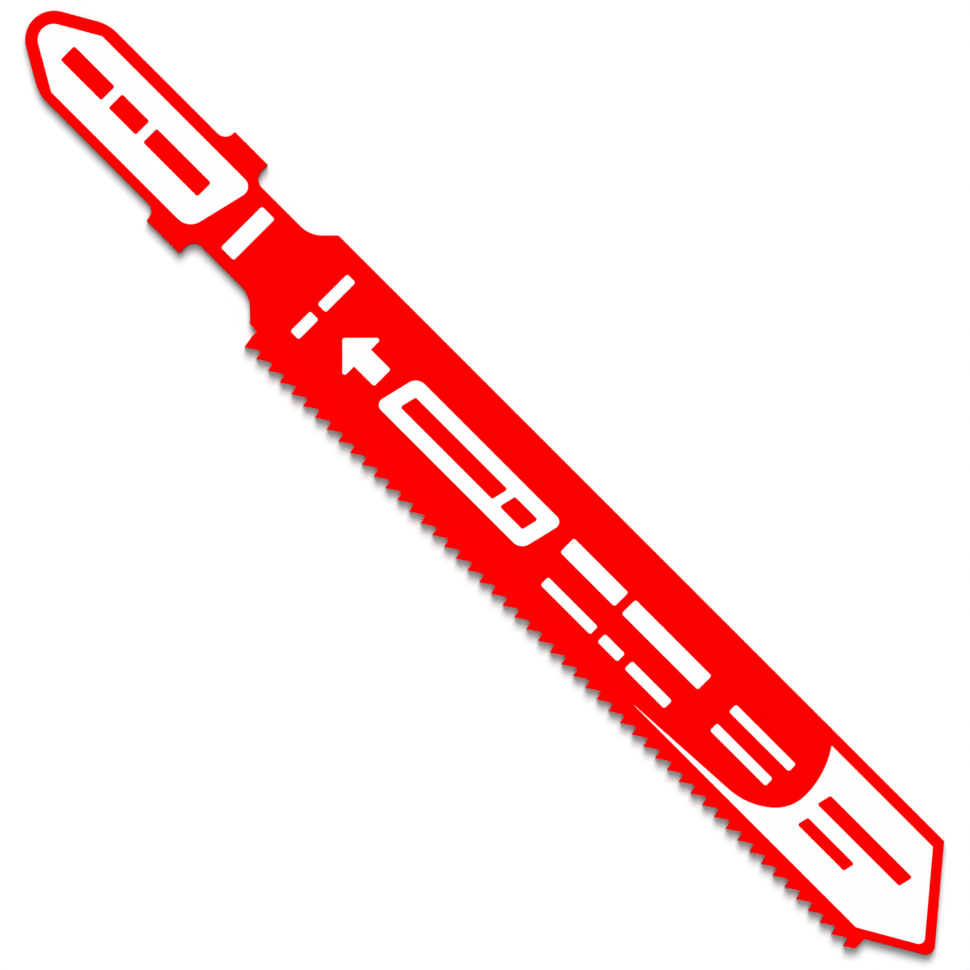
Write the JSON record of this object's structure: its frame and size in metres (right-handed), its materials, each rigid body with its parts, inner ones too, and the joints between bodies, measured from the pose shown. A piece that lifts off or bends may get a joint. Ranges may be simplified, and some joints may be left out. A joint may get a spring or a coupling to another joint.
{
  "type": "jigsaw blade",
  "caption": "Flat T-shank jigsaw blade for metal: red painted steel body, fine carbide tooth strip welded along its lower edge, plain white printed panels on one face.",
  "frame": {"origin": "on the shank's centre line, level with the lugs' bearing faces and halfway through the steel", "axes": "+X from the shank to the tip, +Y to the back edge (the teeth face -Y), +Z out of the printed face"},
  "size_m": [0.0825, 0.0093, 0.0014],
  "materials": {
    "red_paint": "smooth satin paint over ground steel and carbide",
    "white_ink": "flat opaque white printing ink over the red paint"
  },
  "bodies": {
    "root": {"blade_body": "red_paint", "carbide_tooth_strip": "red_paint", "white_print": "white_ink"}
  },
  "joints": []
}
